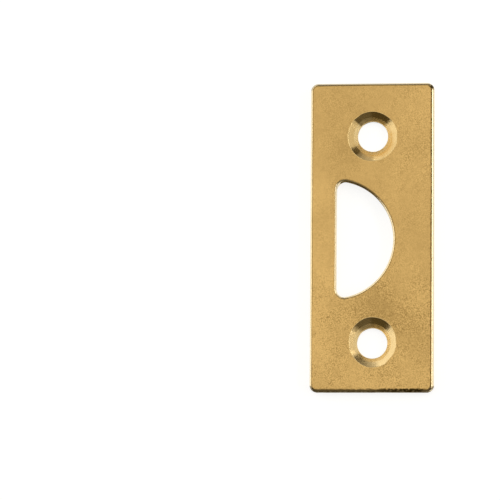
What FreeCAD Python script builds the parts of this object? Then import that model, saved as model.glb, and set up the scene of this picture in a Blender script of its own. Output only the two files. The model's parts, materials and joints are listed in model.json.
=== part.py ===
import FreeCAD, Part
import os

import Sketcher

# Door strike plate, lying on its back on z = 0 and centred on the origin.
# X runs across the plate, Y along it and Z out of the front face. Sizes are in mm, the angle in degrees.

driving_sizes = [
    ("plate_length", 50.0, "length of the plate"),
    ("plate_width", 20.0, "width of the plate"),
    ("plate_thickness", 2.0, "thickness of the sheet"),
    ("corner_radius", 1.2, "corner radius of the outline"),
    ("front_roll", 0.5, "rounding that the punch leaves on the front edges"),
    ("back_break", 0.15, "small rounding of the back edges"),
    ("slot_land", 4.25, "metal between the left side and the straight side of the opening"),
    ("slot_reach", 9.15, "opening from its straight side to the far point of its arc"),
    ("slot_radius", 9.5, "radius of the arc of the opening"),
    ("slot_corner", 1.3, "radius in the two corners of the opening"),
    ("punch_shift", -0.3, "opening and screw holes from mid-length, positive upwards"),
    ("screw_spacing", 33.5, "distance between the screw holes"),
    ("screw_bore", 4.9, "diameter of the screw holes at the back"),
    ("sink_diameter", 8.0, "diameter of the countersinks at the front"),
    ("sink_angle", 100.0, "included angle of the countersinks"),
    ("sink_rim", 0.12, "rounding of the countersink rims"),
]

# The roundings stay under these shares of the corner radius and of the sheet's thickness.
roll_of_corner = 0.8
roll_of_sheet = 0.6
break_of_sheet = 0.2

near = 1e-4
origin_point = (-1, 1)


def make_sheet(doc):
    sheet = doc.addObject("Spreadsheet::Sheet", "Sizes")
    for row, (name, value, note) in enumerate(driving_sizes, start=1):
        sheet.set(f"A{row}", note)
        sheet.set(f"B{row}", str(value))
        sheet.setAlias(f"B{row}", name)
    doc.recompute()
    return sheet


def add_sketch(body, name, lift=None, shift=None):
    """Sketch on the plane of the back face, lifted and shifted along the plate by expressions."""
    sketch = body.newObject("Sketcher::SketchObject", name)
    back_plane = next(plane for plane in body.Origin.OriginFeatures if plane.Role == "XY_Plane")
    sketch.AttachmentSupport = [(back_plane, "")]
    sketch.MapMode = "FlatFace"
    if lift:
        sketch.setExpression(".AttachmentOffset.Base.z", lift)
    if shift:
        sketch.setExpression(".AttachmentOffset.Base.y", shift)
    return sketch


def add_dimension(sketch, name, expression, *constraint):
    """Named sketch dimension that follows an expression of the driving sizes."""
    index = sketch.addConstraint(Sketcher.Constraint(*constraint))
    sketch.renameConstraint(index, name)
    sketch.setExpression(f"Constraints.{name}", expression)


def draw_outline(sketch, sheet):
    half_width = sheet.plate_width / 2
    half_length = sheet.plate_length / 2
    corners = [
        FreeCAD.Vector(-half_width, -half_length, 0),
        FreeCAD.Vector(half_width, -half_length, 0),
        FreeCAD.Vector(half_width, half_length, 0),
        FreeCAD.Vector(-half_width, half_length, 0),
    ]
    for index, corner in enumerate(corners):
        sketch.addGeometry(Part.LineSegment(corner, corners[(index + 1) % 4]))
    for side in range(4):
        sketch.addConstraint(Sketcher.Constraint("Coincident", side, 2, (side + 1) % 4, 1))
        sketch.addConstraint(Sketcher.Constraint("Vertical" if side % 2 else "Horizontal", side))
    sketch.addConstraint(Sketcher.Constraint("Symmetric", 0, 1, 1, 2, *origin_point))
    add_dimension(sketch, "width", "Sizes.plate_width", "DistanceX", 0, 1, 0, 2, 2 * half_width)
    add_dimension(sketch, "length", "Sizes.plate_length", "DistanceY", 1, 1, 1, 2, 2 * half_length)


def draw_opening(sketch, sheet):
    """Half-moon: a straight side on the left, closed by an arc bulging to the right."""
    straight_x = sheet.slot_land - sheet.plate_width / 2
    centre_x = straight_x + sheet.slot_reach - sheet.slot_radius
    half_chord = (sheet.slot_radius**2 - (straight_x - centre_x) ** 2) ** 0.5
    top = FreeCAD.Vector(straight_x, half_chord, 0)
    bottom = FreeCAD.Vector(straight_x, -half_chord, 0)
    far_point = FreeCAD.Vector(straight_x + sheet.slot_reach, 0, 0)
    sketch.addGeometry(Part.LineSegment(top, bottom))
    sketch.addGeometry(Part.Arc(bottom, far_point, top))
    sketch.addConstraint(Sketcher.Constraint("Coincident", 0, 2, 1, 1))
    sketch.addConstraint(Sketcher.Constraint("Coincident", 0, 1, 1, 2))
    sketch.addConstraint(Sketcher.Constraint("Vertical", 0))
    sketch.addConstraint(Sketcher.Constraint("PointOnObject", 1, 3, -1))
    straight = "Sizes.slot_land - Sizes.plate_width / 2"
    add_dimension(sketch, "straight_x", straight, "DistanceX", *origin_point, 0, 1, straight_x)
    centre = straight + " + Sizes.slot_reach - Sizes.slot_radius"
    add_dimension(sketch, "centre_x", centre, "DistanceX", *origin_point, 1, 3, centre_x)
    add_dimension(sketch, "radius", "Sizes.slot_radius", "Radius", 1, sheet.slot_radius)


def draw_screw_holes(sketch, sheet):
    bore_radius = sheet.screw_bore / 2
    for way in (-1, 1):
        centre = FreeCAD.Vector(0, way * sheet.screw_spacing / 2, 0)
        sketch.addGeometry(Part.Circle(centre, FreeCAD.Vector(0, 0, 1), bore_radius))
    sketch.addConstraint(Sketcher.Constraint("PointOnObject", 0, 3, -2))
    sketch.addConstraint(Sketcher.Constraint("Symmetric", 0, 3, 1, 3, *origin_point))
    sketch.addConstraint(Sketcher.Constraint("Equal", 0, 1))
    spacing = sheet.screw_spacing
    add_dimension(sketch, "spacing", "Sizes.screw_spacing", "DistanceY", 0, 3, 1, 3, spacing)
    add_dimension(sketch, "bore", "Sizes.screw_bore", "Diameter", 0, 2 * bore_radius)


def is_upright(edge):
    ends = [vertex.Point for vertex in edge.Vertexes]
    return len(ends) == 2 and (ends[0] - ends[1]).Length - abs(ends[0].z - ends[1].z) < near


def lies_at(edge, height):
    return abs(edge.BoundBox.ZMin - height) < near and abs(edge.BoundBox.ZMax - height) < near


def is_full_circle(edge):
    return len(edge.Vertexes) == 1


def add_rounding(body, name, chosen, radius):
    """Rounding on the chosen edges of the body as it stands, with its radius from an expression."""
    base = body.Tip
    numbered = enumerate(base.Shape.Edges, start=1)
    edges = [f"Edge{number}" for number, edge in numbered if chosen(edge)]
    if not edges:
        raise RuntimeError(f"{name}: no edge to round")
    rounding = body.newObject("PartDesign::Fillet", name)
    rounding.Base = (base, edges)
    rounding.setExpression("Radius", radius)
    body.Document.recompute()
    return rounding


def make_plate(doc, sheet):
    body = doc.addObject("PartDesign::Body", "StrikePlate")
    body.Label = "strike_plate"
    body.Placement = FreeCAD.Placement()
    thickness = sheet.plate_thickness

    outline = add_sketch(body, "Outline")
    draw_outline(outline, sheet)
    blank = body.newObject("PartDesign::Pad", "Blank")
    blank.Profile = outline
    blank.setExpression("Length", "Sizes.plate_thickness")
    doc.recompute()
    add_rounding(body, "OutlineCorners", is_upright, "Sizes.corner_radius")

    # The latch opening is cut right through from the back plane upwards.
    opening = add_sketch(body, "Opening", shift="Sizes.punch_shift")
    draw_opening(opening, sheet)
    latch_opening = body.newObject("PartDesign::Pocket", "LatchOpening")
    latch_opening.Profile = opening
    latch_opening.Type = "ThroughAll"
    latch_opening.Reversed = True
    doc.recompute()
    straight_x = sheet.slot_land - sheet.plate_width / 2

    def in_opening_corner(edge):
        return is_upright(edge) and abs(edge.Vertexes[0].X - straight_x) < near

    add_rounding(body, "OpeningCorners", in_opening_corner, "Sizes.slot_corner")

    # Both screw holes are countersunk from the front face.
    hole_centres = add_sketch(body, "HoleCentres", lift="Sizes.plate_thickness", shift="Sizes.punch_shift")
    draw_screw_holes(hole_centres, sheet)
    doc.recompute()
    screw_holes = body.newObject("PartDesign::Hole", "ScrewHoles")
    screw_holes.Profile = hole_centres
    doc.recompute()
    screw_holes.DepthType = "ThroughAll"
    screw_holes.HoleCutType = "Countersink"
    screw_holes.HoleCutCustomValues = True
    screw_holes.setExpression("Diameter", "Sizes.screw_bore")
    screw_holes.setExpression("HoleCutDiameter", "Sizes.sink_diameter")
    screw_holes.setExpression("HoleCutCountersinkAngle", "Sizes.sink_angle")
    doc.recompute()

    # The punch pulls the front edges down, and tumbling takes the sharpness off the rest.
    corner_limit = f"{roll_of_corner} * Sizes.corner_radius"
    sheet_limit = f"{roll_of_sheet} * Sizes.plate_thickness"
    add_rounding(
        body,
        "FrontRoll",
        lambda edge: lies_at(edge, thickness) and not is_full_circle(edge),
        f"min(Sizes.front_roll; {corner_limit}; {sheet_limit})",
    )
    add_rounding(
        body,
        "SinkRims",
        lambda edge: lies_at(edge, thickness) and is_full_circle(edge),
        "Sizes.sink_rim",
    )
    add_rounding(
        body,
        "BackEdges",
        lambda edge: lies_at(edge, 0),
        f"min(Sizes.back_break; {break_of_sheet} * Sizes.plate_thickness)",
    )
    return body


def check_objects(doc):
    for item in doc.Objects:
        if "Invalid" in item.State or "Error" in item.State:
            raise RuntimeError(f"{item.Name} did not recompute: {item.State}")
        if hasattr(item, "Shape") and item.isDerivedFrom("PartDesign::Feature"):
            if item.Shape.isNull() or not item.Shape.isValid():
                raise RuntimeError(f"{item.Name} has no valid shape")


doc = FreeCAD.newDocument("StrikePlate")
sheet = make_sheet(doc)
plate = make_plate(doc, sheet)
doc.recompute()
check_objects(doc)

os.makedirs("parts", exist_ok=True)
plate.Shape.exportStep(f"parts/{plate.Label}.step")
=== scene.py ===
import json
import math

import bmesh
import bpy
from mathutils import Matrix, Vector, kdtree, noise
from mathutils.geometry import delaunay_2d_cdt


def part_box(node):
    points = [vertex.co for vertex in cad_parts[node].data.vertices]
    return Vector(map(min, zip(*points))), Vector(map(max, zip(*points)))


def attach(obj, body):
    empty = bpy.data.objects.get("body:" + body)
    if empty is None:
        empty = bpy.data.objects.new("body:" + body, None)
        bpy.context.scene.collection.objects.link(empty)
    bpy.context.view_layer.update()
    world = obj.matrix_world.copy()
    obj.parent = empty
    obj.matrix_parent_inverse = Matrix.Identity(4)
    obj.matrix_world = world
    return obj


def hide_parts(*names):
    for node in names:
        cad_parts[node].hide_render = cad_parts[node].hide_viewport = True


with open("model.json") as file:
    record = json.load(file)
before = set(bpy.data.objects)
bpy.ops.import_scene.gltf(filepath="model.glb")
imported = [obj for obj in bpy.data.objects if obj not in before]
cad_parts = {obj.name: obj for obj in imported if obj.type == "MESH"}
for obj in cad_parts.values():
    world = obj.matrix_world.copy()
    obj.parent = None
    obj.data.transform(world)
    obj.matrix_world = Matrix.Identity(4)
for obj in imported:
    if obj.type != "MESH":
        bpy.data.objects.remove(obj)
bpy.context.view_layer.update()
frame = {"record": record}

mm = 0.001  # the frame is in metres, the sizes below are in millimetres

lowCorner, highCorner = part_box("strike_plate")
halfWide = (highCorner.x - lowCorner.x) / 2 / mm
halfLong = (highCorner.y - lowCorner.y) / 2 / mm
thick = (highCorner.z - lowCorner.z) / mm
screwHoles = next(m for m in frame["record"]["mounts"] if m["name"] == "screw_holes")
punchShift = screwHoles["pos_m"][1] / mm
boreRadius = screwHoles["dims"]["hole_r_mm"]
holeSpacing = screwHoles["dims"]["spacing_y_mm"]
print("strike plate frame", round(2 * halfWide, 2), round(2 * halfLong, 2), round(thick, 2))


# outline, opening and edges of the plate, in mm
plateShape = {
    "cornerRadius": 1.2,
    "slotLand": 4.25,
    "slotReach": 9.15,
    "slotRadius": 9.5,
    "slotCorner": 1.3,
    "roll": 0.5,           # rounding of the front edges
    "backBreak": 0.15,
    "edgeStep": 0.11,      # spacing of points along the edges
    "cornerShare": 0.7,    # share of it round the small corners
    "faceStep": 0.6,       # spacing of points inside the faces
    "faceJitter": 0.2,     # how far they are shifted, as a share of it
    "faceGap": 0.6,        # how far they keep off the edges, as a share of it
    "rollRings": 10,
    "wallRings": 8,
    "breakRings": 3,
    "rollSway": 0.16,      # slow change of the roll round the plate, as a share
    "swaySize": 5,
    "outlineNick": 0.15,   # small nicks in it, as a share
    "openingNick": 0.04,
    "nickSize": 0.4,
    "leastNick": 0.3,      # share of them on the edges that face left or up
    "outlineLean": (0.35, 0.20),  # how much wider it is where it faces right and down
    "openingLean": (-0.40, 0.0),
    "streakDepth": 0.006,  # fine upright streaks on the walls
    "streakSize": 0.19,
    "burnishTo": 0.75,     # height where the smooth sheared band ends
    "burnishSway": 0.18,   # how far that height changes round the plate
    "burnishSize": 2.2,
    "tearDepth": 0.03,     # roughness of the torn band below it
    "tearSize": (0.35, 0.25),  # along the wall and up it
    "tearLean": 0.09,      # how far that band leans in on the walls that face -Y or +X
    "outlineSeed": 11.3,
    "openingSeed": 23.7,
    "faceSeed": 31.7,
}

# countersinks, in mm
sinkShape = {
    "rimRadius": 4.0,
    "rimRound": 0.12,
    "footSlope": 40.6,     # degrees between the foot of the cone and the face
    "stepRadius": 3.08,    # a small ridge between the turned cone and its rougher foot
    "stepWide": 0.03,
    "stepHeight": 0.005,
    "ringPitch": 0.21,
    "ringDepth": 0.0006,   # turning rings on the cone
    "footDepth": 0.0009,   # deeper ones on the foot
    "footRate": 1.3,       # how much closer those lie
    "lipWide": 0.05,       # the foot breaks over into the bore
    "lipTall": 0.06,
    "points": 240,
    "rimRings": 5,
    "coneRings": 30,
    "footRings": 18,
    "boreRings": 3,
    "breakRings": 3,
}

# how the tool ran in each hole: slope of the cone in degrees, rim off the bore, waves in the rim (how many
# round it, share of its radius, turn) and flats (degrees, depth)
sinkMarks = {
    "upper": {
        "way": 1,
        "slope": 39.0,
        "rimOff": (0.05, -0.10),
        "waves": ((3, 0.006, 0.4), (7, 0.003, 2.1)),
        "flats": ((-2, 0.06), (-58, 0.05), (128, 0.04)),
    },
    "lower": {
        "way": -1,
        "slope": 36.5,
        "rimOff": (0.17, 0.10),
        "waves": ((0, -0.022, 0.0), (2, -0.030, 0.0), (7, 0.003, 0.2)),  # smaller, oval and uneven
        "flats": ((4, 0.26), (-38, 0.22)),
    },
}


def wander(x, y, size, seed):
    return noise.noise(Vector((x / size, y / size, seed)))


def walkLine(start, end, step):
    count = max(1, round(math.dist(start, end) / step))
    for i in range(count):
        k = i / count
        yield start[0] + (end[0] - start[0]) * k, start[1] + (end[1] - start[1]) * k


def walkArc(centre, radius, fromAngle, toAngle, step):
    count = max(2, round(abs(toAngle - fromAngle) * radius / step))
    for i in range(count):
        a = fromAngle + (toAngle - fromAngle) * i / count
        yield centre[0] + radius * math.cos(a), centre[1] + radius * math.sin(a)


def outlineWalk(shape):
    r = shape["cornerRadius"]
    x, y = halfWide - r, halfLong - r
    corners = [((x, -y), -90), ((x, y), 0), ((-x, y), 90), ((-x, -y), 180)]
    points = []
    for i, (centre, angle) in enumerate(corners):
        a0, a1 = math.radians(angle), math.radians(angle + 90)
        points += walkArc(centre, r, a0, a1, shape["edgeStep"] * shape["cornerShare"])
        nextCentre = corners[(i + 1) % len(corners)][0]
        lift = (r * math.cos(a1), r * math.sin(a1))
        start = (centre[0] + lift[0], centre[1] + lift[1])
        end = (nextCentre[0] + lift[0], nextCentre[1] + lift[1])
        points += walkLine(start, end, shape["edgeStep"])
    return points


def openingWalk(shape):
    straight = shape["slotLand"] - halfWide
    middle = straight + shape["slotReach"] - shape["slotRadius"]
    big, small = shape["slotRadius"], shape["slotCorner"]
    cornerX = straight + small
    cornerY = math.sqrt((big - small) ** 2 - (cornerX - middle) ** 2)
    turn = math.atan2(cornerY, cornerX - middle)
    step, y0 = shape["edgeStep"], punchShift
    cornerStep = step * shape["cornerShare"]
    points = list(walkArc((middle, y0), big, -turn, turn, step))
    points += walkArc((cornerX, y0 + cornerY), small, turn, math.pi, cornerStep)
    points += walkLine((straight, y0 + cornerY), (straight, y0 - cornerY), step)
    points += walkArc((cornerX, y0 - cornerY), small, math.pi, 2 * math.pi - turn, cornerStep)
    return points


def withNormals(points, outward):
    # each point with the direction that points out of the metal
    full = []
    for i, (x, y) in enumerate(points):
        ax, ay = points[i - 1]
        bx, by = points[(i + 1) % len(points)]
        run = math.hypot(bx - ax, by - ay)
        full.append((x, y, outward * (by - ay) / run, -outward * (bx - ax) / run))
    return full


def edgeProfile(shape):
    # rows from the front face to the back: distance in from the wall, height, kind
    roll, brk = shape["roll"], shape["backBreak"]
    rows = []
    for i in range(shape["rollRings"] + 1):
        a = math.pi / 2 * i / shape["rollRings"]
        rows.append((roll * (1 - math.sin(a)), thick - roll * (1 - math.cos(a)), "roll"))
    top = thick - roll
    for i in range(1, shape["wallRings"]):
        rows.append((0, top + (brk - top) * i / shape["wallRings"], "wall"))
    for i in range(shape["breakRings"] + 1):
        a = math.pi / 2 * i / shape["breakRings"]
        rows.append((brk * (1 - math.cos(a)), brk * (1 - math.sin(a)), "back"))
    return rows


def edgeRings(points, edge, shape):
    walk = withNormals(points, 1 if edge == "outline" else -1)
    seed = shape[edge + "Seed"]
    nickDepth = shape[edge + "Nick"]
    leanRight, leanDown = shape[edge + "Lean"]
    tearLong, tearTall = shape["tearSize"]
    rings = []
    for inset, z, kind in edgeProfile(shape):
        ring = []
        for x, y, nx, ny in walk:
            depth = inset
            if kind == "roll":
                sway = shape["rollSway"] * wander(x, y, shape["swaySize"], seed)
                nick = nickDepth * wander(x, y, shape["nickSize"], seed + 3)
                nick *= max(nx, -ny, shape["leastNick"])
                depth *= 1 + sway + nick + leanRight * max(0, nx) + leanDown * max(0, -ny)
            if kind == "wall":
                # smooth sheared band above, torn band below, fine upright streaks on both
                depth += shape["streakDepth"] * (1 + wander(x, y, shape["streakSize"], seed + 7))
                bandSway = shape["burnishSway"] * wander(x, y, shape["burnishSize"], seed + 5)
                if z < shape["burnishTo"] + bandSway:
                    depth += shape["tearDepth"] * (1 + wander(x, y, tearLong, z / tearTall + seed))
            depth += shape["tearLean"] * max(0, 1 - z / shape["burnishTo"]) * max(0, -ny, nx)
            ring.append((x - nx * depth, y - ny * depth, z))
        rings.append(ring)
    return rings


def sinkProfile(mark, shape, brk):
    # rows from the rim to the back: radius, height, and whether the countersink cut them
    slope = math.radians(mark["slope"])
    fall = math.tan(slope)
    footFall = math.tan(math.radians(shape["footSlope"]))
    rim, edge, step = shape["rimRadius"], shape["rimRound"], shape["stepRadius"]
    reach = edge * math.tan(slope / 2)
    rows = []
    for i in range(shape["rimRings"]):
        a = slope * i / (shape["rimRings"] - 1)
        rows.append((rim + reach - edge * math.sin(a), thick - edge * (1 - math.cos(a)), True))
    start = rows[-1][0]

    def coneHeight(r):
        return thick - (rim - r) * fall

    for i in range(1, shape["coneRings"] + 1):
        r = start + (step - start) * i / shape["coneRings"]
        ripple = shape["ringDepth"] * math.sin(2 * math.pi * r / shape["ringPitch"])
        rows.append((r, coneHeight(r) + ripple, True))
    footStart = step - shape["stepWide"]
    footEnd = boreRadius + shape["lipWide"]
    for i in range(1, shape["footRings"] + 1):
        r = footStart + (footEnd - footStart) * i / shape["footRings"]
        ripple = shape["footDepth"] * math.sin(2 * math.pi * r / shape["ringPitch"] * shape["footRate"])
        z = coneHeight(step) - shape["stepHeight"] - (step - r) * footFall + ripple
        rows.append((r, z, True))
    low = rows[-1][1] - shape["lipTall"]
    rows.append((boreRadius, low, True))
    for i in range(1, shape["boreRings"]):
        rows.append((boreRadius, low + (brk - low) * i / shape["boreRings"], False))
    for i in range(shape["breakRings"] + 1):
        a = math.pi / 2 * i / shape["breakRings"]
        rows.append((boreRadius + brk * (1 - math.cos(a)), brk * (1 - math.sin(a)), False))
    return rows


def rimReach(mark, angle, rim):
    # from the middle of the bore to the rim of the countersink
    reach = rim * (1 + sum(size * math.cos(n * angle + turn) for n, size, turn in mark["waves"]))
    for where, depth in mark["flats"]:
        off = math.cos(angle - math.radians(where))
        if off > 0:
            reach = min(reach, (rim - depth) / off)
    return reach + mark["rimOff"][0] * math.cos(angle) + mark["rimOff"][1] * math.sin(angle)


def sinkRings(mark, shape, brk):
    centreY = punchShift + mark["way"] * holeSpacing / 2
    turns = [2 * math.pi * i / shape["points"] for i in range(shape["points"])]
    width = shape["rimRadius"] - boreRadius
    shares = [(rimReach(mark, a, shape["rimRadius"]) - boreRadius) / width for a in turns]
    rings = []
    for r, z, cut in sinkProfile(mark, shape, brk):
        ring = []
        for a, share in zip(turns, shares):
            # a narrower cone is as much shallower, so that its slope stays
            radius = boreRadius + (r - boreRadius) * share if cut else r
            height = thick - (thick - z) * share if cut else z
            ring.append((radius * math.cos(a), centreY + radius * math.sin(a), height))
        rings.append(ring)
    return rings


def fillFace(rings, shape, seed):
    # flat metal between the outer ring and the rings of the openings, with a shifted grid of points in it
    step = shape["faceStep"]
    jitter = shape["faceJitter"] * step
    joinWithin = 1e-5
    flat, loops = [], []
    for ring in rings:
        loops.append(list(range(len(flat), len(flat) + len(ring))))
        flat += [Vector((p[0], p[1])) for p in ring]
    tree = kdtree.KDTree(len(flat))
    for i, p in enumerate(flat):
        tree.insert((p.x, p.y, 0), i)
    tree.balance()
    inner = []
    # odd strides keep the shifts from repeating
    for i in range(int(2 * halfWide / step)):
        for j in range(int(2 * halfLong / step)):
            x = -halfWide + step * (i + 0.5) + jitter * wander(i * 7.3, j * 5.1, 3, seed)
            y = -halfLong + step * (j + 0.5) + jitter * wander(i * 6.1, j * 8.7, 3, seed + 1)
            if tree.find((x, y, 0))[2] > step * shape["faceGap"]:
                inner.append(Vector((x, y)))
    result = delaunay_2d_cdt(flat + inner, [], loops, 1, joinWithin)
    origins = [origin[0] for origin in result[3]]
    metal = [face for face, regions in zip(result[2], result[5]) if list(regions) == [0]]
    return [[origins[i] for i in face] for face in metal], inner


def dropLoosePoints(mesh):
    # grid points that fell in the openings have no face
    grid = bmesh.new()
    grid.from_mesh(mesh)
    loose = [v for v in grid.verts if not v.link_faces]
    bmesh.ops.delete(grid, geom=loose, context="VERTS")
    grid.to_mesh(mesh)
    grid.free()
    mesh.update()


# finishes of the plate, in the order of its material slots
tumbledZone, shearedZone, turnedZone, footZone = range(4)


def buildPlate(shape, sink):
    outer = edgeRings(outlineWalk(shape), "outline", shape)
    slot = edgeRings(openingWalk(shape), "opening", shape)
    verts, faces, zones = [], [], []

    def edgeZone(j):
        wallEnd = shape["rollRings"] + shape["wallRings"]
        return shearedZone if shape["rollRings"] <= j < wallEnd else tumbledZone

    def sinkZone(j):
        coneEnd = sink["rimRings"] + sink["coneRings"] - 1
        if j < coneEnd:
            return turnedZone
        return footZone if j < coneEnd + sink["footRings"] + 1 else shearedZone

    def addRings(rings, outside, zoneOf):
        first, count = len(verts), len(rings[0])
        for ring in rings:
            verts.extend(ring)
        for j in range(len(rings) - 1):
            for i in range(count):
                a = first + j * count + i
                b = first + j * count + (i + 1) % count
                c, d = b + count, a + count
                faces.append((a, d, c, b) if outside else (a, b, c, d))
                zones.append(zoneOf(j))
        return first, first + (len(rings) - 1) * count, count

    spans = [addRings(outer, True, edgeZone), addRings(slot, False, edgeZone)]
    for mark in sinkMarks.values():
        spans.append(addRings(sinkRings(mark, sink, shape["backBreak"]), False, sinkZone))
    for side, z in ((0, thick), (1, 0)):
        rings, numbers = [], []
        for span in spans:
            numbers += [span[side] + i for i in range(span[2])]
            rings.append([verts[span[side] + i] for i in range(span[2])])
        metal, inner = fillFace(rings, shape, shape["faceSeed"] + side)
        numbers += range(len(verts), len(verts) + len(inner))
        verts += [(p.x, p.y, z) for p in inner]
        for face in metal:
            face = [numbers[i] for i in face]
            faces.append(face[::-1] if side else face)
            zones.append(tumbledZone)
    mesh = bpy.data.meshes.new("strikePlate")
    mesh.from_pydata([(x * mm, y * mm, z * mm) for x, y, z in verts], [], faces)
    for polygon, zone in zip(mesh.polygons, zones):
        polygon.material_index = zone
        polygon.use_smooth = True
    mesh.validate()
    dropLoosePoints(mesh)
    plate = bpy.data.objects.new("strikePlate", mesh)
    bpy.context.scene.collection.objects.link(plate)
    print("plate mesh", len(mesh.vertices), "points", len(mesh.polygons), "faces")
    return plate


# small node helpers: each takes sockets or plain numbers and gives back a socket
def newMaterial(name):
    finish = bpy.data.materials.new(name)
    finish.use_nodes = True
    finish.node_tree.nodes.clear()
    return finish, finish.node_tree


def feed(tree, socket, value):
    if isinstance(value, bpy.types.NodeSocket):
        tree.links.new(value, socket)
    else:
        socket.default_value = value


def sums(tree, operation, first, second=None, third=None):
    node = tree.nodes.new("ShaderNodeMath")
    node.operation = operation
    for i, value in enumerate((first, second, third)):
        if value is not None:
            feed(tree, node.inputs[i], value)
    return node.outputs[0]


def times(tree, first, second):
    return sums(tree, "MULTIPLY", first, second)


def most(tree, first, second):
    return sums(tree, "MAXIMUM", first, second)


def ramp(tree, value, low, high, fromLow=0.0, toHigh=1.0):
    node = tree.nodes.new("ShaderNodeMapRange")
    node.interpolation_type = "SMOOTHSTEP"
    for name, number in (("From Min", low), ("From Max", high), ("To Min", fromLow), ("To Max", toHigh)):
        node.inputs[name].default_value = number
    feed(tree, node.inputs["Value"], value)
    return node.outputs["Result"]


def grainAt(tree, place, size, detail, seed):
    node = tree.nodes.new("ShaderNodeTexNoise")
    node.noise_dimensions = "4D"
    node.inputs["W"].default_value = seed
    node.inputs["Scale"].default_value = 1 / size
    node.inputs["Detail"].default_value = detail
    feed(tree, node.inputs["Vector"], place)
    return node.outputs["Fac"]


def mixTint(tree, factor, first, second):
    node = tree.nodes.new("ShaderNodeMix")
    node.data_type = "RGBA"
    sockets = [s for s in node.inputs if s.enabled]
    for socket, value in zip(sockets, (factor, first, second)):
        feed(tree, socket, (*value, 1) if isinstance(value, tuple) else value)
    return next(s for s in node.outputs if s.enabled)


def plateCoords(tree):
    # place on the plate in mm, and which way the surface faces
    coords = tree.nodes.new("ShaderNodeTexCoord")
    scale = tree.nodes.new("ShaderNodeVectorMath")
    scale.operation = "SCALE"
    scale.inputs["Scale"].default_value = 1 / mm
    feed(tree, scale.inputs[0], coords.outputs["Object"])
    spot = tree.nodes.new("ShaderNodeSeparateXYZ")
    feed(tree, spot.inputs[0], scale.outputs["Vector"])
    facing = tree.nodes.new("ShaderNodeSeparateXYZ")
    feed(tree, facing.inputs[0], coords.outputs["Normal"])
    return scale.outputs["Vector"], spot.outputs, facing.outputs


def flatness(tree, facing):
    # 1 on the front and on the back, 0 on the walls
    return sums(tree, "ABSOLUTE", facing["Z"])


def softMark(tree, place, centre, reach, tone):
    away = tree.nodes.new("ShaderNodeVectorMath")
    away.operation = "DISTANCE"
    feed(tree, away.inputs[0], place)
    away.inputs[1].default_value = (*centre, thick)
    return ramp(tree, away.outputs["Value"], 0.0, reach, tone, 0.0)


def brassShader(tree, tint, rough, height, depth, glance=(1, 1, 1, 1)):
    # glance is the tint of what the metal mirrors at a flat angle
    bump = tree.nodes.new("ShaderNodeBump")
    bump.inputs["Distance"].default_value = depth * mm
    feed(tree, bump.inputs["Height"], height)
    brass = tree.nodes.new("ShaderNodeBsdfPrincipled")
    brass.inputs["Metallic"].default_value = 1.0
    feed(tree, brass.inputs["Base Color"], tint)
    feed(tree, brass.inputs["Roughness"], rough)
    feed(tree, brass.inputs["Specular Tint"], glance)
    feed(tree, brass.inputs["Normal"], bump.outputs["Normal"])
    out = tree.nodes.new("ShaderNodeOutputMaterial")
    feed(tree, out.inputs["Surface"], brass.outputs["BSDF"])


# in the looks below, a noise is its size in mm, its detail and its seed. A pair of limits says where
# something starts and where it is full: flatness (Flat), value of the noise (Noise), part of the normal
# (Facing), mm in from an edge of the plate (In) or mm along X (Across)
tumbledLook = {
    "bright": (0.696, 0.456, 0.166),
    "dull": (0.330, 0.204, 0.064),
    "polished": (0.900, 0.775, 0.520),  # tumbling polishes the rounded edges
    "polishFlat": (0.97, 0.80),
    "rough": 0.31,
    "rollRough": 0.17,
    "roughFlat": (0.955, 0.995),
    "roughNoise": (0.3, 0.7),
    "grain": (0.12, 1.0, 1.7),
    "grainRough": 0.03,
    "grainHeight": 0.0015,
    "pitNoise": (0.30, 0.75),
    "pitTone": (-0.5, 0.6),
    "mottle": (0.9, 3.0, 2.9),
    "mottleTone": (0.26, 0.38),
    "cloud": (5.5, 2.0, 3.4),
    "cloudTone": (-0.04, 0.12),
    "softNoise": (0.25, 0.75),
    "quietGrain": 0.40,     # grain where the tumbling ran fine
    "heavyGrain": 1.0,      # and where it left more pits
    "heavyBelow": (-2.0, -9.0),  # mm, the lower half
    "heavyRight": (2.0, 5.0),    # and the upper right
    "heavyAbove": (8.0, 12.0),
    "heavyCorner": 0.5,     # which has this share of it
    "drift": (2.6, 1.0, 8.8),  # drifts of more and of fewer pits
    "driftNoise": (0.3, 0.7),
    "driftShare": (0.45, 1.35),
    # soft patches on the front: place, reach and how much duller, or brighter where negative. The first
    # two, above the lower hole, are painted shade for the front dipping toward that hole and mirroring the
    # dark side; the rest make the front darker or lighter in places
    "marks": (
        ((1.2, -11.8), 6.8, 0.34),
        ((6.2, -14.4), 5.5, 0.15),
        ((9.6, -19.0), 4.0, 0.16),
        ((-5.0, 18.0), 8.0, 0.15),
        ((-4.2, 13.6), 4.0, 0.18),
        ((-9.8, 7.0), 5.5, -0.20),
        ((-9.8, -1.0), 4.0, -0.16),
        ((-9.8, -6.0), 6.0, -0.22),
        ((-9.8, -12.0), 4.5, -0.24),
        ((-9.8, -17.5), 5.0, -0.26),
        ((8.0, 21.0), 6.5, -0.18),
        ((0.0, -24.0), 4.5, -0.18),
    ),
}
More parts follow.
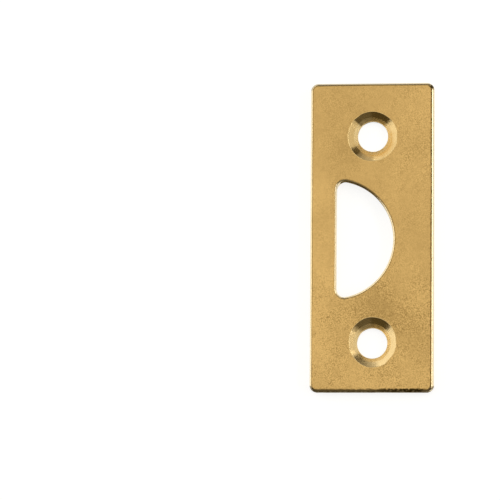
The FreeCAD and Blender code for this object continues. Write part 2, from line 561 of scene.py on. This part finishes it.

# dark tint on the edges: painted shade on the rolls and walls by the way they face and a painted dark line
# where the faces turn into the rolls, with dark ragged patches, specks and a corner spot
edgeShadeAndSpotsLook = {
    "tint": (0.054, 0.034, 0.007),
    "glance": (0.40, 0.28, 0.10),
    "rougher": 0.38,         # how much more matt the walls are under it
    "offFaceFlat": (0.998, 0.975),
    # painted shade on the rolls of the lower end and of the opening that face -Y
    "endIn": (2.0, 1.0),
    "rollFacing": (-0.07, -0.19),
    "rollCover": 0.66,
    "slotCover": 0.15,
    "thinFacing": (-0.42, -0.62),
    "thinner": 0.40,         # share of it half way down the roll
    # painted shade on the walls that face -Y
    "wallFacing": (-0.55, -0.76),
    "wallCover": 0.97,
    "wallLean": 0.25,        # those that also face right stay brighter
    "wallNoise": (0.35, 0.60),
    "wallBetween": 0.88,     # share of it where the noise is low
    # painted shade on the rolls of the upper end that face +Y
    "topFacing": (0.10, 0.30),
    "topAcross": (-8.0, 8.0),
    "topCover": (0.36, 0.12),  # at its left and at its right
    "topLean": -0.014,       # how much further it reaches, for each mm to the left
    # ragged patches on the lower end
    "patch": (0.36, 2.0, 4.2),
    "patchNoise": (0.40, 0.52),
    "patchBetween": 0.25,    # cover between the patches, as a share
    "patchFacing": (-0.36, -0.58),
    "patchRagged": 0.8,      # how much the noise tears their upper border
    "patchIn": (0.75, 0.55),
    "patchAcross": (-4.0, 4.5),
    "patchCover": (0.35, 1.0),  # at its left and at its right
    "patchCornerIn": (1.0, 1.7),  # the right corner stays clear of them
    # specks along the right side
    "speck": (0.34, 1.0, 7.6),
    "speckNoise": (0.40, 0.56),
    "speckCover": 0.80,
    "speckIn": (1.2, 0.8),
    "speckFacing": (0.03, 0.12),
    "speckEndFacing": (0.48, 0.34),
    "speckFrontFacing": (0.2, 0.5),
    # spot on the upper right corner: place, reach and cover
    "cornerSpot": ((9.82, 24.40), 0.80, 1.6),
    # painted shade: a thin dark line where a face turns into a roll
    "lineCover": 0.25,
    "lineFlat": (0.998, 0.990),
    "lineEndFlat": (0.93, 0.965),
}


def inFrom(edge, depths):
    return [edge - math.copysign(depth, edge) for depth in depths]


# painted shade: a dark tint on the rolls and walls that face -Y, and on the upper end's rolls that face
# +Y, where the lamps leave them dark
def paintedShadeFilm(tree, spot, facing, patch, look):
    lowEnd = ramp(tree, spot["Y"], *inFrom(-halfLong, look["endIn"]))
    roll = ramp(tree, lowEnd, 0.0, 1.0, look["slotCover"], look["rollCover"])
    roll = times(tree, roll, ramp(tree, facing["Y"], *look["thinFacing"], 1.0, look["thinner"]))
    roll = times(tree, roll, ramp(tree, facing["Y"], *look["rollFacing"]))
    turned = sums(tree, "MULTIPLY_ADD", facing["X"], look["wallLean"], facing["Y"])
    wall = ramp(tree, turned, *look["wallFacing"], 0.0, look["wallCover"])
    wall = times(tree, wall, ramp(tree, patch, *look["wallNoise"], look["wallBetween"], 1.0))
    top = ramp(tree, spot["Y"], *inFrom(halfLong, look["endIn"]))
    top = times(tree, top, ramp(tree, spot["X"], *look["topAcross"], *look["topCover"]))
    turned = sums(tree, "MULTIPLY_ADD", spot["X"], look["topLean"], facing["Y"])
    top = times(tree, top, ramp(tree, turned, *look["topFacing"]))
    return most(tree, most(tree, roll, wall), top)


def darkEndPatches(tree, spot, facing, patch, look):
    ragged = sums(tree, "MULTIPLY_ADD", patch, -look["patchRagged"], facing["Y"])
    cover = ramp(tree, spot["X"], *look["patchAcross"], *look["patchCover"])
    cover = times(tree, cover, ramp(tree, spot["X"], *inFrom(halfWide, look["patchCornerIn"])))
    cover = times(tree, cover, ramp(tree, ragged, *look["patchFacing"]))
    cover = times(tree, cover, ramp(tree, patch, *look["patchNoise"], look["patchBetween"], 1.0))
    return times(tree, cover, ramp(tree, spot["Y"], *inFrom(-halfLong, look["patchIn"])))


def darkSideSpecks(tree, place, spot, facing, look):
    speck = grainAt(tree, place, *look["speck"])
    speck = ramp(tree, speck, *look["speckNoise"], 0.0, look["speckCover"])
    speck = times(tree, speck, ramp(tree, facing["X"], *look["speckFacing"]))
    speck = times(tree, speck, ramp(tree, facing["X"], *look["speckEndFacing"]))
    speck = times(tree, speck, ramp(tree, facing["Z"], *look["speckFrontFacing"]))
    return times(tree, speck, ramp(tree, spot["X"], *inFrom(halfWide, look["speckIn"])))


# painted shade on the rolls and walls and a painted dark line at the start of each roll, with dark
# patches, specks and a corner spot laid over it
def edgeShadeAndSpots(tree, place, spot, facing, look):
    flat = flatness(tree, facing)
    patch = grainAt(tree, place, *look["patch"])
    cover = paintedShadeFilm(tree, spot, facing, patch, look)
    cover = most(tree, cover, darkSideSpecks(tree, place, spot, facing, look))
    cover = most(tree, cover, softMark(tree, place, *look["cornerSpot"]))
    cover = times(tree, cover, ramp(tree, flat, *look["offFaceFlat"]))
    cover = most(tree, cover, darkEndPatches(tree, spot, facing, patch, look))
    # painted shade: a thin dark line where a face turns into a roll
    line = ramp(tree, flat, *look["lineFlat"], 0.0, look["lineCover"])
    line = times(tree, line, ramp(tree, flat, *look["lineEndFlat"]))
    return most(tree, cover, line)


def tumbledFinish(look):
    finish, tree = newMaterial("tumbledBrass")
    place, spot, facing = plateCoords(tree)
    grain, mottle, cloud, drift = (
        grainAt(tree, place, *look[key]) for key in ("grain", "mottle", "cloud", "drift")
    )
    # the lower half and the upper right carry more pits
    lower = ramp(tree, spot["Y"], *look["heavyBelow"])
    corner = ramp(tree, spot["Y"], *look["heavyAbove"], 0.0, look["heavyCorner"])
    corner = times(tree, corner, ramp(tree, spot["X"], *look["heavyRight"]))
    extra = look["heavyGrain"] - look["quietGrain"]
    strength = sums(tree, "MULTIPLY_ADD", most(tree, lower, corner), extra, look["quietGrain"])
    strength = times(tree, strength, ramp(tree, drift, *look["driftNoise"], *look["driftShare"]))
    tone = times(tree, ramp(tree, grain, *look["pitNoise"], *look["pitTone"]), strength)
    tone = sums(tree, "ADD", tone, ramp(tree, mottle, *look["softNoise"], *look["mottleTone"]))
    tone = sums(tree, "ADD", tone, ramp(tree, cloud, *look["softNoise"], *look["cloudTone"]))
    # soft darker and lighter patches; the two above the lower hole are painted shade
    for centre, reach, change in look["marks"]:
        tone = sums(tree, "ADD", tone, softMark(tree, place, centre, reach, change))
    tint = mixTint(tree, tone, look["bright"], look["dull"])
    flat = flatness(tree, facing)
    tint = mixTint(tree, ramp(tree, flat, *look["polishFlat"]), tint, look["polished"])
    # painted shade on the edges by the way they face, with dark patches and specks; it also tints the
    # grazing reflection dark
    shadeAndSpots = edgeShadeAndSpots(tree, place, spot, facing, edgeShadeAndSpotsLook)
    tint = mixTint(tree, shadeAndSpots, tint, edgeShadeAndSpotsLook["tint"])
    rough = ramp(tree, flat, *look["roughFlat"], look["rollRough"], look["rough"])
    swing = look["grainRough"]
    rough = sums(tree, "ADD", rough, ramp(tree, grain, *look["roughNoise"], -swing, swing))
    glance = mixTint(tree, shadeAndSpots, (1, 1, 1), edgeShadeAndSpotsLook["glance"])
    brassShader(tree, tint, rough, grain, look["grainHeight"], glance)
    return finish


shearedLook = {
    "bright": (0.900, 0.730, 0.410),
    "dull": (0.580, 0.420, 0.180),
    "rough": 0.16,
    "tornRough": 0.14,       # how much more matt the torn band is
    "tornTone": 0.35,
    "tornAt": (0.95, 0.55),  # mm above the back, where that band starts and where it is full
    "streak": (0.12, 2.0, 5.1),
    "streakStretch": 0.12,   # the streaks run up the wall
    "streakNoise": (0.3, 0.75),
    "streakTone": 0.35,
    "streakHeight": 0.004,
}


def shearedFinish(look):
    finish, tree = newMaterial("shearedBrass")
    place, spot, facing = plateCoords(tree)
    stretch = tree.nodes.new("ShaderNodeVectorMath")
    stretch.operation = "MULTIPLY"
    stretch.inputs[1].default_value = (1, 1, look["streakStretch"])
    feed(tree, stretch.inputs[0], place)
    streak = grainAt(tree, stretch.outputs["Vector"], *look["streak"])
    torn = ramp(tree, spot["Z"], *look["tornAt"])
    tone = times(tree, torn, look["tornTone"])
    tone = sums(tree, "MULTIPLY_ADD", ramp(tree, streak, *look["streakNoise"]), look["streakTone"], tone)
    tint = mixTint(tree, tone, look["bright"], look["dull"])
    # painted shade on the walls by the way they face, with dark patches and specks; it also tints the
    # grazing reflection dark
    shadeAndSpots = edgeShadeAndSpots(tree, place, spot, facing, edgeShadeAndSpotsLook)
    tint = mixTint(tree, shadeAndSpots, tint, edgeShadeAndSpotsLook["tint"])
    rough = sums(tree, "MULTIPLY_ADD", torn, look["tornRough"], look["rough"])
    rough = sums(tree, "MULTIPLY_ADD", shadeAndSpots, edgeShadeAndSpotsLook["rougher"], rough)
    glance = mixTint(tree, shadeAndSpots, (1, 1, 1), edgeShadeAndSpotsLook["glance"])
    brassShader(tree, tint, rough, streak, look["streakHeight"], glance)
    return finish


turnedLook = {
    "upper": (0.790, 0.575, 0.260),
    "lower": (0.835, 0.620, 0.300),
    "foot": (0.860, 0.670, 0.350),
    "dull": (0.580, 0.400, 0.150),
    "rough": 0.17,
    "footRough": 0.26,
    "chatter": (1.0, 2.0, 6.3),  # noise in the place that turningPlace gives, its size is not in mm
    "roughSwing": 0.15,      # share by which it changes along the marks
    "roughNoise": (0.3, 0.7),
    "duller": 0.30,          # how far the marks go to the dull tint
    "dullNoise": (0.3, 0.8),
    "markWide": 0.15,        # mm across the turning marks
    "marksRound": 5.0,       # how often they change on the way round
    "markDepth": 0.005,
    "holeShift": 40.0,       # so that the two holes are not alike
    "between": (-1.0, 1.0),  # mm in Y, from the lower tint to the upper one
}


def turningPlace(tree, spot, look):
    # way round the hole and distance from its middle, so that marks follow the turning
    along = sums(tree, "SUBTRACT", spot["Y"], punchShift)
    which = sums(tree, "SIGN", along)
    fromHole = tree.nodes.new("ShaderNodeCombineXYZ")
    feed(tree, fromHole.inputs["X"], spot["X"])
    feed(tree, fromHole.inputs["Y"], sums(tree, "MULTIPLY_ADD", which, -holeSpacing / 2, along))
    radius = tree.nodes.new("ShaderNodeVectorMath")
    radius.operation = "LENGTH"
    feed(tree, radius.inputs[0], fromHole.outputs[0])
    way = tree.nodes.new("ShaderNodeVectorMath")
    way.operation = "NORMALIZE"
    feed(tree, way.inputs[0], fromHole.outputs[0])
    part = tree.nodes.new("ShaderNodeSeparateXYZ")
    feed(tree, part.inputs[0], way.outputs["Vector"])
    place = tree.nodes.new("ShaderNodeCombineXYZ")
    for axis in "XY":
        feed(tree, place.inputs[axis], times(tree, part.outputs[axis], look["marksRound"]))
    across = sums(tree, "DIVIDE", radius.outputs["Value"], look["markWide"])
    feed(tree, place.inputs["Z"], sums(tree, "MULTIPLY_ADD", which, look["holeShift"], across))
    return place.outputs[0]


def turnedFinish(name, look, lower, upper, rough):
    finish, tree = newMaterial(name)
    spot = plateCoords(tree)[1]
    chatter = grainAt(tree, turningPlace(tree, spot, look), *look["chatter"])
    bright = look[lower]
    if upper != lower:
        bright = mixTint(tree, ramp(tree, spot["Y"], *look["between"]), bright, look[upper])
    dulled = ramp(tree, chatter, *look["dullNoise"], 0.0, look["duller"])
    tint = mixTint(tree, dulled, bright, look["dull"])
    swing = look["roughSwing"]
    rough = ramp(tree, chatter, *look["roughNoise"], rough * (1 - swing), rough * (1 + swing))
    brassShader(tree, tint, rough, chatter, look["markDepth"])
    return finish


plate = buildPlate(plateShape, sinkShape)
for finish in (
    tumbledFinish(tumbledLook),
    shearedFinish(shearedLook),
    turnedFinish("turnedBrass", turnedLook, "lower", "upper", turnedLook["rough"]),
    turnedFinish("cutFootBrass", turnedLook, "foot", "foot", turnedLook["footRough"]),
):
    plate.data.materials.append(finish)
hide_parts("strike_plate")
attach(plate, "root")
print("brass finishes on")


# white paper under the plate
floorLook = {"size": 8.0, "albedo": 0.32, "glow": 0.81, "under": 0.02}


def buildFloor(look):
    half = look["size"] / 2
    corners = [(-half, -half, 0), (half, -half, 0), (half, half, 0), (-half, half, 0)]
    mesh = bpy.data.meshes.new("paperFloor")
    mesh.from_pydata(corners, [], [(0, 1, 2, 3)])
    floor = bpy.data.objects.new("paperFloor", mesh)
    bpy.context.scene.collection.objects.link(floor)
    floor.location.z = -look["under"] * mm
    paper, tree = newMaterial("whitePaper")
    rays = tree.nodes.new("ShaderNodeLightPath").outputs
    seen = most(tree, rays["Is Camera Ray"], rays["Is Glossy Ray"])
    seen = most(tree, seen, rays["Is Transmission Ray"])
    matte = tree.nodes.new("ShaderNodeBsdfDiffuse")
    matte.inputs["Color"].default_value = (look["albedo"], look["albedo"], look["albedo"], 1)
    glow = tree.nodes.new("ShaderNodeEmission")
    feed(tree, glow.inputs["Strength"], times(tree, seen, look["glow"]))
    both = tree.nodes.new("ShaderNodeAddShader")
    feed(tree, both.inputs[0], matte.outputs[0])
    feed(tree, both.inputs[1], glow.outputs[0])
    out = tree.nodes.new("ShaderNodeOutputMaterial")
    feed(tree, out.inputs["Surface"], both.outputs[0])
    mesh.materials.append(paper)


# softboxes round the plate: direction in degrees (0 is +X, 90 is +Y) and width of it, from low to high
# above the floor, distance in metres, brightness
softBoxes = {
    "overheadBox": {"turn": 144, "span": 48, "low": 57, "high": 105, "far": 0.75, "bright": 0.70},
    "leftBox": {"turn": 156, "span": 116, "low": 2, "high": 22, "far": 0.55, "bright": 1.10},
    "leftStrip": {"turn": 160, "span": 90, "low": 24, "high": 37, "far": 0.60, "bright": 2.1},
    "rightBox": {"turn": -1, "span": 78, "low": 2, "high": 28, "far": 0.55, "bright": 0.70,
                 "tint": (1.0, 0.955, 0.87)},
    "rightStrip": {"turn": 2, "span": 50, "low": 30, "high": 42, "far": 0.60, "bright": 4.0},
    "topBox": {"turn": 91, "span": 16, "low": 2, "high": 18, "far": 0.55, "bright": 0.55},
    "topMiddleBox": {"turn": 77, "span": 12, "low": 2, "high": 18, "far": 0.55, "bright": 0.41},
    "topEdgeBox": {"turn": 65, "span": 12, "low": 2, "high": 18, "far": 0.55, "bright": 0.22},
    "cornerStrip": {"turn": 50, "span": 46, "low": 24, "high": 37, "far": 0.60, "bright": 1.6},
    "nearBox": {"turn": -66, "span": 50, "low": 2, "high": 22, "far": 0.55, "bright": 0.105},
}
# room: dim and warm near the floor, lighter above, with the heights in degrees
roomLight = {"low": (0.082, 0.066, 0.032), "high": (0.42, 0.39, 0.323), "lowTo": 24, "highFrom": 52}


def hangBox(name, spec):
    lamp = bpy.data.lights.new(name, "AREA")
    lamp.shape = "RECTANGLE"
    lamp.size = 2 * spec["far"] * math.tan(math.radians(spec["span"] / 2))
    lamp.size_y = 2 * spec["far"] * math.tan(math.radians((spec["high"] - spec["low"]) / 2))
    lamp.energy = spec["bright"] * math.pi * lamp.size * lamp.size_y
    lamp.color = spec.get("tint", (1, 1, 1))
    box = bpy.data.objects.new(name, lamp)
    turn, rise = math.radians(spec["turn"]), math.radians((spec["low"] + spec["high"]) / 2)
    away = Vector((math.cos(turn) * math.cos(rise), math.sin(turn) * math.cos(rise), math.sin(rise)))
    box.location = away * spec["far"]
    box.rotation_euler = away.to_track_quat("Z", "Y").to_euler()
    bpy.context.scene.collection.objects.link(box)


def buildStudio():
    buildFloor(floorLook)
    for name, spec in softBoxes.items():
        hangBox(name, spec)
    world = bpy.data.worlds.new("studioRoom")
    world.use_nodes = True
    tree = world.node_tree
    way = tree.nodes.new("ShaderNodeSeparateXYZ")
    feed(tree, way.inputs[0], tree.nodes.new("ShaderNodeTexCoord").outputs["Generated"])
    dimTo, lightFrom = (math.sin(math.radians(roomLight[key])) for key in ("lowTo", "highFrom"))
    height = ramp(tree, way.outputs["Z"], dimTo, lightFrom)
    tint = mixTint(tree, height, roomLight["low"], roomLight["high"])
    feed(tree, tree.nodes["Background"].inputs["Color"], tint)
    bpy.context.scene.world = world
    bpy.context.scene.view_settings.view_transform = "Standard"
    print("studio ready")


# camera: looking down with a slight lean, the plate right of the middle as in the photograph
cameraSpec = {
    "frameWide": 80.95,              # mm of the plate's plane across the picture
    "distance": 550,                 # mm
    "frameMiddle": (-19.88, -1.89),  # mm from the plate's centre
    "leanX": 7.5,                    # degrees from the right
    "leanY": -5.5,                   # degrees from below
    "roll": -0.42,                   # degrees
}


def placeCamera(spec):
    lens = bpy.data.cameras.new("plateCamera")
    lens.sensor_width = 36
    lens.lens = lens.sensor_width * spec["distance"] / spec["frameWide"]
    lens.clip_start, lens.clip_end = 0.01, 50
    camera = bpy.data.objects.new("plateCamera", lens)
    bpy.context.scene.collection.objects.link(camera)
    tanX, tanY = math.tan(math.radians(spec["leanX"])), math.tan(math.radians(spec["leanY"]))
    back = Vector((tanX, tanY, 1)).normalized()
    across = Vector((0, 1, 0)).cross(back).normalized()
    across = Matrix.Rotation(math.radians(-spec["roll"]), 3, back) @ across
    up = back.cross(across)
    aim = Vector((*spec["frameMiddle"], thick / 2)) * mm
    spot = aim + back * spec["distance"] * mm
    camera.matrix_world = Matrix.Translation(spot) @ Matrix((across, up, back)).transposed().to_4x4()
    bpy.context.scene.camera = camera
    print("camera placed")


buildStudio()
placeCamera(cameraSpec)
